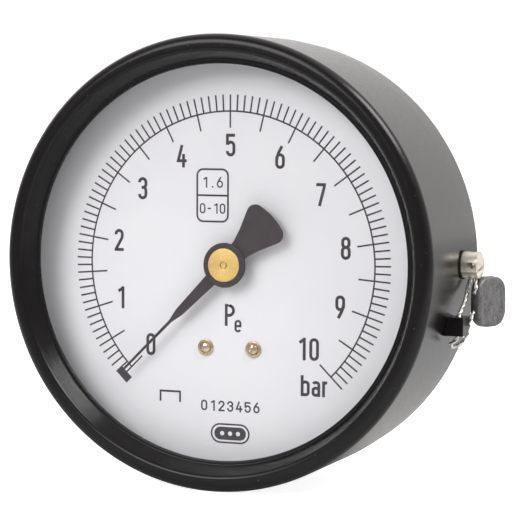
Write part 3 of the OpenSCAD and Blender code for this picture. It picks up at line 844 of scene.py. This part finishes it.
def legend_print():
    """Unit, pressure sign, mounting sign, a row of counting digits and plain frames."""
    bm = bmesh.new()
    write(bm, "P", 0, -11.3, (2.3, 4.9, 0.66), 0)
    write(bm, "e", 2, -13.7, (1.65, 2.8, 0.5), 0)
    for letter, x, w in (("b", 18.0, 2.1), ("a", 20.5, 2.0), ("r", 22.7, 1.5)):
        write(bm, letter, x, -26.18, (w, 4.65, 0.66), 0)
    sign = [Vector((-16.8, -31.4)), Vector((-16.8, -29.05))]
    sign += [Vector((-12.0, -29.05)), Vector((-12.0, -31.4))]
    add_stroke(bm, sign, 0.45)
    write(bm, "0123456", 0.2, -31.75, (1.5, 2.4, 0.37), 2.1)
    x, y = RANGE_FRAME
    add_stroke(bm, frame_outline(x, y, 7.4, 11.6, 1.4), FINE_LINE, closed=True)
    add_stroke(bm, [Vector((x - 3.7, y)), Vector((x + 3.7, y))], FINE_LINE, high=INK_T + LAYER)
    write(bm, "1.6", x, y + 2.9, (1.45, 2.4, 0.32), 1.75)
    write(bm, "0-10", x, y - 2.9, (1.35, 2.3, 0.32), 1.6)
    x, y = DOT_PLATE
    add_stroke(bm, frame_outline(x, y, 9.0, 4.1, 2.05), 0.38, closed=True)
    add_patch(bm, frame_outline(x, y, 7.6, 2.9, 1.45))
    new_piece("legend_print", bm, INK)
    bm = bmesh.new()
    for i in (-1, 0, 1):
        add_patch(bm, arc(x + 1.9 * i, y, 0.5, 0, 345, 23), INK_T, INK_T + 0.015)
    new_piece("plate_dots", bm, WHITE)


# ---- Bourdon tube ----

TUBE_R = 34.0
TUBE_DEPTH = -16.0
TUBE_FROM = 256.0
TUBE_TO = -40.0
TUBE_W = 10.0
TUBE_T = 4.0


def bourdon_tube():
    """Flat-oval tube in a C."""
    section = arc(0, TUBE_W / 2 - TUBE_T / 2, TUBE_T / 2, 0, 180, 10)
    section += arc(0, TUBE_T / 2 - TUBE_W / 2, TUBE_T / 2, 180, 360, 10)
    steps = 150
    bm = bmesh.new()
    rings = []
    for i in range(steps + 1):
        angle = TUBE_FROM + (TUBE_TO - TUBE_FROM) * i / steps
        ring = []
        for p in section:
            flat = polar(TUBE_R + p.x, angle)
            ring.append(bm.verts.new(DIAL @ Vector((flat.x, flat.y, TUBE_DEPTH + p.y))))
        rings.append(ring)
    for one, two in zip(rings, rings[1:]):
        for k in range(len(section)):
            m = (k + 1) % len(section)
            bm.faces.new((one[k], two[k], two[m], one[m]))
    bm.faces.new(rings[0])
    bm.faces.new(rings[-1])
    tube = new_piece("tube_c", bm, TUBE_BRONZE, body=None, replaces=["bourdon_tube"])
    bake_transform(tube)


# ---- Socket, stem and thread ----

SQUARE_W = 22.0
NECK_R = 10.6
THREAD_R = 10.4775
THREAD_PITCH = 25.4 / 14
THREAD_DEEP = 1.16
THREAD_L = 20.0
CREST_SHARE = 0.12
UNDERCUT_L = 1.6
UNDERCUT_DEEP = 1.3
RUNOUT_L = 1.2
THREAD_CHAMFER = 1.3
SPIGOT_R = 3.0
SPIGOT_EDGE = 0.3
PORT_R = 1.75
PORT_EDGE = 0.2
PORT_L = 30
SQUARE_END = depth(0)
STEM_END = depth(socket_high.y)
GROOVE = 1.2
SQUARE_TOP = CASE_BACK - GROOVE
CORNER_RUN = 1.9
BLOCK_HALF = (13, 8)
BLOCK_LOW = CASE_BACK + 1.8
FLANGE_SEAT_R = 13.5
EAR_R = 4
EAR_HALF_W = 3
EAR_H = 6.2
EAR_HOLE_R = 1.75


def thread_radius(turn, along):
    """Radius of the round-crested thread at a turn (in turns) and a place along the axis."""
    phase = (along / THREAD_PITCH - turn) % 1
    ramp = abs(2 * phase - 1)
    share = (ramp - CREST_SHARE) / (1 - 2 * CREST_SHARE)
    wave = 0.5 - 0.5 * math.cos(math.pi * min(1, max(0, share)))
    runout = min(1, max(0, (along - UNDERCUT_L) / RUNOUT_L))
    chamfer = max(0, along - (THREAD_L - THREAD_CHAMFER))
    if along <= UNDERCUT_L:
        return THREAD_R - UNDERCUT_DEEP
    return THREAD_R - max(THREAD_DEEP * wave * runout, chamfer)


def stem_thread():
    """G 1/2 thread with an undercut at the square, a chamfer, the spigot and the port."""
    turns, rows = 96, 176
    bm = bmesh.new()
    rings = []
    for i in range(rows + 1):
        along = THREAD_L * i / rows
        ring = []
        for k in range(turns):
            r = thread_radius(k / turns, along)
            flat = polar(r, 360 * k / turns)
            ring.append(bm.verts.new(STEM @ Vector((flat.x, flat.y, SQUARE_END - along))))
        rings.append(ring)
    thread_end = SQUARE_END - THREAD_L
    nose = [
        (SPIGOT_R + SPIGOT_EDGE, thread_end),
        (SPIGOT_R, thread_end - 0.2),
        (SPIGOT_R, STEM_END + SPIGOT_EDGE),
        (SPIGOT_R - SPIGOT_EDGE, STEM_END),
        (PORT_R + PORT_EDGE, STEM_END),
        (PORT_R, STEM_END + PORT_EDGE),
        (PORT_R, STEM_END + PORT_L),
    ]
    for r, z in nose:
        flats = [polar(r, 360 * k / turns) for k in range(turns)]
        rings.append([bm.verts.new(STEM @ Vector((p.x, p.y, z))) for p in flats])
    for one, two in zip(rings, rings[1:]):
        for k in range(turns):
            m = (k + 1) % turns
            bm.faces.new((one[k], two[k], two[m], one[m]))
    bm.faces.new(rings[0])
    bm.faces.new(rings[-1])
    return bm


def socket_square():
    """Wrench square whose corners are turned off at both ends, as a machined one's are."""
    bm = bmesh.new()
    half = SQUARE_W / 2
    box_mesh(bm, STEM, (-half, -half, SQUARE_END), (half, half, SQUARE_TOP))
    square = new_piece("scratch_square", bm, STEM_BRASS, body=None)
    face_r = half + 0.6
    corner_r = half * math.sqrt(2) - 0.5
    turned = rounded([
        (0, SQUARE_END, 0),
        (face_r, SQUARE_END, 0),
        (corner_r, SQUARE_END + CORNER_RUN, 0),
        (corner_r, SQUARE_TOP - CORNER_RUN, 0),
        (face_r, SQUARE_TOP, 0),
        (0, SQUARE_TOP, 0),
    ])
    combine(square, [scratch(lathe_mesh(turned, STEM))], "INTERSECT")
    return square


def socket():
    """Socket block, neck, wrench square and threaded stem, machined from one brass bar."""
    square = socket_square()
    bm = stem_thread()
    bm.from_mesh(square.data)
    bpy.data.objects.remove(square)
    x, y = BLOCK_HALF
    box_mesh(bm, STEM, (-x, -y, BLOCK_LOW), (x, y, depth(socket_low.y)))
    x, y = SOCKET_SCREW_X, EAR_HALF_W
    ear_top = BLOCK_LOW + EAR_H
    box_mesh(bm, STEM, (-x, -y, BLOCK_LOW), (x, y, ear_top))
    neck = rounded([
        (0, SQUARE_TOP - 0.1, 0),
        (NECK_R + 0.9, SQUARE_TOP - 0.1, 0.1),
        (NECK_R + 0.9, CASE_BACK, 0.1),
        (NECK_R, CASE_BACK, 0),
        (NECK_R, BLOCK_LOW + 1, 0),
        (0, BLOCK_LOW + 1, 0),
    ])
    add_mesh(bm, lathe_mesh(neck, STEM))
    flange = rounded([
        (0, BLOCK_LOW, 0),
        (FLANGE_SEAT_R, BLOCK_LOW, 0.1),
        (FLANGE_SEAT_R, BLOCK_LOW + 2, 0.3),
        (0, BLOCK_LOW + 2, 0),
    ])
    add_mesh(bm, lathe_mesh(flange, STEM))
    ear = rounded([
        (EAR_HOLE_R, BLOCK_LOW, 0),
        (EAR_R, BLOCK_LOW, 0.1),
        (EAR_R, ear_top, 0.4),
        (EAR_HOLE_R, ear_top, 0),
    ])
    for x in (-SOCKET_SCREW_X, SOCKET_SCREW_X):
        add_mesh(bm, lathe_mesh(ear, STEM @ Matrix.Translation((x, 0, 0)), 48))
    new_piece("socket_body", bm, STEM_BRASS, replaces=["socket"])


def add_mesh(bm, other):
    """Adds another bmesh to bm and frees it."""
    mesh = bpy.data.meshes.new("part")
    other.to_mesh(mesh)
    other.free()
    bm.from_mesh(mesh)
    bpy.data.meshes.remove(mesh)


# ---- Seal screw and lug ----


def refined(name, node, material, edge):
    """A copy of a CAD node with its edges broken by a small round bevel."""
    bm = bmesh.new()
    bm.from_mesh(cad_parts[node].data)
    bmesh.ops.remove_doubles(bm, verts=bm.verts, dist=1e-7)
    bmesh.ops.dissolve_limit(bm, angle_limit=math.radians(1), verts=bm.verts, edges=bm.edges)
    piece = new_piece(name, bm, material, replaces=[node])
    bevel = piece.modifiers.new("edges", "BEVEL")
    bevel.width = edge * MM
    bevel.segments = 3
    bevel.limit_method = "ANGLE"
    bevel.angle_limit = math.radians(40)
    bevel.use_clamp_overlap = True
    even_normals(piece)


# ---- Seal wire and lead ----

WIRE_ROUTE = [
    (53.3, -5.6, -13.05), (52.75, -5.6, -11.87), (52.85, -5.2, -11.1),
    (53.2, -4.2, -10.95), (53.0, -3.1, -11.5), (52.5, -2.0, -11.95),
    (52.4, -1.0, -12.0), (52.4, 0.2, -12.1), (52.4, 0.6, -12.8),
    (52.4, 0.65, -14.8), (52.3, 0.4, -16.0), (51.8, -0.6, -16.3),
    (51.2, -1.8, -15.6), (51.0, -3.0, -14.2), (50.95, -4.3, -12.6),
    (51.15, -5.8, -11.1), (51.1, -7.5, -9.6), (50.9, -8.9, -8.1),
    (50.6, -10.1, -7.1), (50.5, -11.2, -6.9), (50.5, -13.4, -6.9),
    (50.4, -14.8, -6.9), (49.6, -15.8, -7.0), (48.8, -16.4, -7.3),
    (49.2, -17.0, -8.0), (50.4, -16.6, -8.9), (51.4, -15.2, -9.8),
    (51.8, -13.6, -10.3), (52.1, -11.8, -10.7), (52.4, -10.2, -11.2),
    (52.75, -9.65, -11.87), (53.3, -9.65, -13.05),
]
TWIST_PITCH = 3.4
STRAND_R = 0.26
STRAND_OFF = 0.23


def smooth_route(points, steps):
    """Catmull-Rom curve through the points."""
    route = []
    last = len(points) - 1
    for i in range(last):
        a, b = points[max(i - 1, 0)], points[i]
        c, d = points[i + 1], points[min(i + 2, last)]
        for s in range(steps):
            t = s / steps
            square, cube = t * t, t * t * t
            route.append(0.5 * (
                2 * b + (c - a) * t + (2 * a - 5 * b + 4 * c - d) * square
                + (3 * b - a - 3 * c + d) * cube
            ))
    return route + [points[last]]


def seal_wire():
    """Two strands twisted round each other along the wire's route."""
    route = smooth_route([Vector(p) for p in WIRE_ROUTE], 14)
    bm = bmesh.new()
    for phase in (0, math.pi):
        side = Vector((0, 0, 1))
        gone = 0.0
        strand = []
        for i, here in enumerate(route):
            way = (route[min(i + 1, len(route) - 1)] - route[max(i - 1, 0)]).normalized()
            side = (side - side.dot(way) * way).normalized()
            gone += (here - route[i - 1]).length if i else 0
            a = phase + 2 * math.pi * gone / TWIST_PITCH
            off = math.cos(a) * side + math.sin(a) * way.cross(side)
            strand.append(DIAL @ (here + STRAND_OFF * off))
        tube_mesh(bm, strand, STRAND_R * MM)
    new_piece("twisted_wire", bm, WIRE_STEEL, replaces=["seal_wire"], sharp=80)


LEAD_W = 9.6
LEAD_H = 11.3
LEAD_T = 2.8
LEAD_CORNER = 3.6
LEAD_EDGE = 0.75
LEAD_TURN = 65
LEAD_FLAT = 2.6
JAW_DEEP = 0.2


def lead_seal():
    """Lead pad squeezed between the jaws of sealing pliers: soft edges and a dented face."""
    middle = (lead_low + lead_high) / 2
    place = Matrix.Translation(middle) @ TO_DIAL @ Matrix.Rotation(math.radians(LEAD_TURN), 4, "Y")
    half_t = LEAD_T / 2
    levels = [(LEAD_EDGE + LEAD_FLAT, -half_t + 0.1), (LEAD_EDGE + 1, -half_t + 0.02)]
    for i in range(9):
        a = math.radians(-90 + 180 * i / 8)
        lift = half_t - LEAD_EDGE if a > 0 else LEAD_EDGE - half_t
        levels.append((LEAD_EDGE * (1 - math.cos(a)), lift + LEAD_EDGE * math.sin(a)))
    levels += [
        (LEAD_EDGE + 0.7, half_t),
        (LEAD_EDGE + 1.1, half_t - JAW_DEEP - 0.02),
        (LEAD_EDGE + LEAD_FLAT, half_t - JAW_DEEP),
    ]
    bm = bmesh.new()
    rings = []
    for inset, z in levels:
        r = max(0.6, LEAD_CORNER - inset)
        outline = frame_outline(0, 0, LEAD_W - 2 * inset, LEAD_H - 2 * inset, r)
        ring = []
        for p in subdivided(outline, 72):
            spot = Vector((p.x, p.y, z))
            dent = noise.noise(spot * 0.9) * 0.13 + noise.noise(spot * 2.3) * 0.05
            shrink = 1 - 0.012 - 0.01 * noise.noise(spot * 0.5)
            ring.append(bm.verts.new(place @ Vector((p.x * shrink, p.y * shrink, (z + dent) * 0.93))))
        rings.append(ring)
    for one, two in zip(rings, rings[1:]):
        for k in range(len(one)):
            m = (k + 1) % len(one)
            bm.faces.new((one[k], two[k], two[m], one[m]))
    bm.faces.new(rings[0])
    bm.faces.new(rings[-1])
    new_piece("pressed_lead", bm, LEAD, replaces=["lead_seal"], sharp=70)


def subdivided(outline, count):
    """The same closed outline as count points at even distances, starting at the same place."""
    closed = outline + [outline[0]]
    lengths = [(b - a).length for a, b in zip(closed, closed[1:])]
    total = sum(lengths)
    points = []
    for i in range(count):
        want = total * i / count
        k = 0
        while want > lengths[k] and k < len(lengths) - 1:
            want -= lengths[k]
            k += 1
        share = want / lengths[k] if lengths[k] else 0
        points.append(closed[k].lerp(closed[k + 1], share))
    return points


# ---- Studio ----

FLOOR_HALF = 4.0
FLOOR_FRONT = 0.4


def studio_floor():
    """Large pale floor where the ring stands. It fades out in front, where the glass mirrors it."""
    bm = bmesh.new()
    bmesh.ops.create_grid(bm, x_segments=8, y_segments=8, size=FLOOR_HALF)
    for vert in bm.verts:
        vert.co += Vector((0, FLOOR_HALF - FLOOR_FRONT, ring_low.z))
    floor = new_piece("studio_floor", bm, floor_finish(), body=None)


# Y of a direction, and the brightness there.
BEHIND_VIEWER = (-0.5, 0.48)
BEHIND_GAUGE = (0.7, 1.2)
SEEN_WHITE = 1.1
WARM_WHITE = (1, 0.975, 0.965, 1)


def studio_world():
    """White surroundings, dimmer on the side that the dial faces and plain for the camera."""
    world = bpy.data.worlds.new("studio")
    bpy.context.scene.world = world
    world.use_nodes = True
    nodes, links = world.node_tree.nodes, world.node_tree.links
    background = nodes["Background"]
    place = nodes.new("ShaderNodeTexCoord")
    split = nodes.new("ShaderNodeSeparateXYZ")
    links.new(place.outputs["Generated"], split.inputs[0])
    ramp = nodes.new("ShaderNodeMapRange")
    for end, values in (("Min", BEHIND_VIEWER), ("Max", BEHIND_GAUGE)):
        ramp.inputs["From " + end].default_value = values[0]
        ramp.inputs["To " + end].default_value = values[1]
    links.new(split.outputs["Y"], ramp.inputs["Value"])
    seen = nodes.new("ShaderNodeLightPath")
    plain = nodes.new("ShaderNodeMix")
    links.new(seen.outputs["Is Camera Ray"], plain.inputs[0])
    links.new(ramp.outputs["Result"], plain.inputs[2])
    plain.inputs[3].default_value = SEEN_WHITE
    links.new(plain.outputs[0], background.inputs["Strength"])
    background.inputs["Color"].default_value = WARM_WHITE


def softbox(name, direction, distance, width, height, power):
    """Area light that looks at the dial's middle from a direction in the dial's frame."""
    lamp = bpy.data.lights.new(name, "AREA")
    lamp.shape = "RECTANGLE"
    lamp.size = width
    lamp.size_y = height
    lamp.energy = power
    box = bpy.data.objects.new(name, lamp)
    bpy.context.scene.collection.objects.link(box)
    x, y, z = Vector(direction).normalized()
    away = Vector((x, -z, y))
    box.location = DIAL.translation + away * distance
    box.rotation_euler = away.to_track_quat("Z", "Y").to_euler()


CAMERA_TURN = 21.64
CAMERA_RISE = 4.01
CAMERA_ROLL = 0.25
CAMERA_DISTANCE = 471.6
CAMERA_ASIDE = (6.52, 0.92)
CAMERA_LENS = 147.1


def camera():
    data = bpy.data.cameras.new("camera")
    data.lens = CAMERA_LENS
    data.sensor_width = 36
    data.clip_end = 20
    view = bpy.data.objects.new("camera", data)
    bpy.context.scene.collection.objects.link(view)
    aim = Matrix.Rotation(math.radians(90), 4, "X")
    aim @= Matrix.Rotation(math.radians(CAMERA_TURN), 4, "Y")
    aim @= Matrix.Rotation(math.radians(-CAMERA_RISE), 4, "X")
    aim @= Matrix.Rotation(math.radians(CAMERA_ROLL), 4, "Z")
    back = Matrix.Translation(Vector((*CAMERA_ASIDE, CAMERA_DISTANCE)) * MM)
    view.matrix_world = Matrix.Translation(DIAL.translation) @ aim @ back
    bpy.context.scene.camera = view


dress_cad_nodes()
cover_ring()
case_base()
pointer_boss()
brass_cap()
dial_screws()
scale_print()
numeral_print()
legend_print()
bourdon_tube()
socket()
refined("cross_drilled_screw", "seal_screw", NICKEL, 0.12)
refined("wire_lug", "seal_lug", RING_PAINT, 0.2)
seal_wire()
lead_seal()
studio_floor()
studio_world()
softbox("key", (-0.38, 0.6, 1.0), 0.9, 0.5, 0.5, 4.2)
softbox("side", (0.6, 0.75, 0.08), 0.8, 0.45, 0.35, 6)
softbox("top", (0.0, 1.0, -0.25), 1.6, 1.6, 1.2, 2)
camera()
bpy.context.scene.view_settings.view_transform = "Standard"
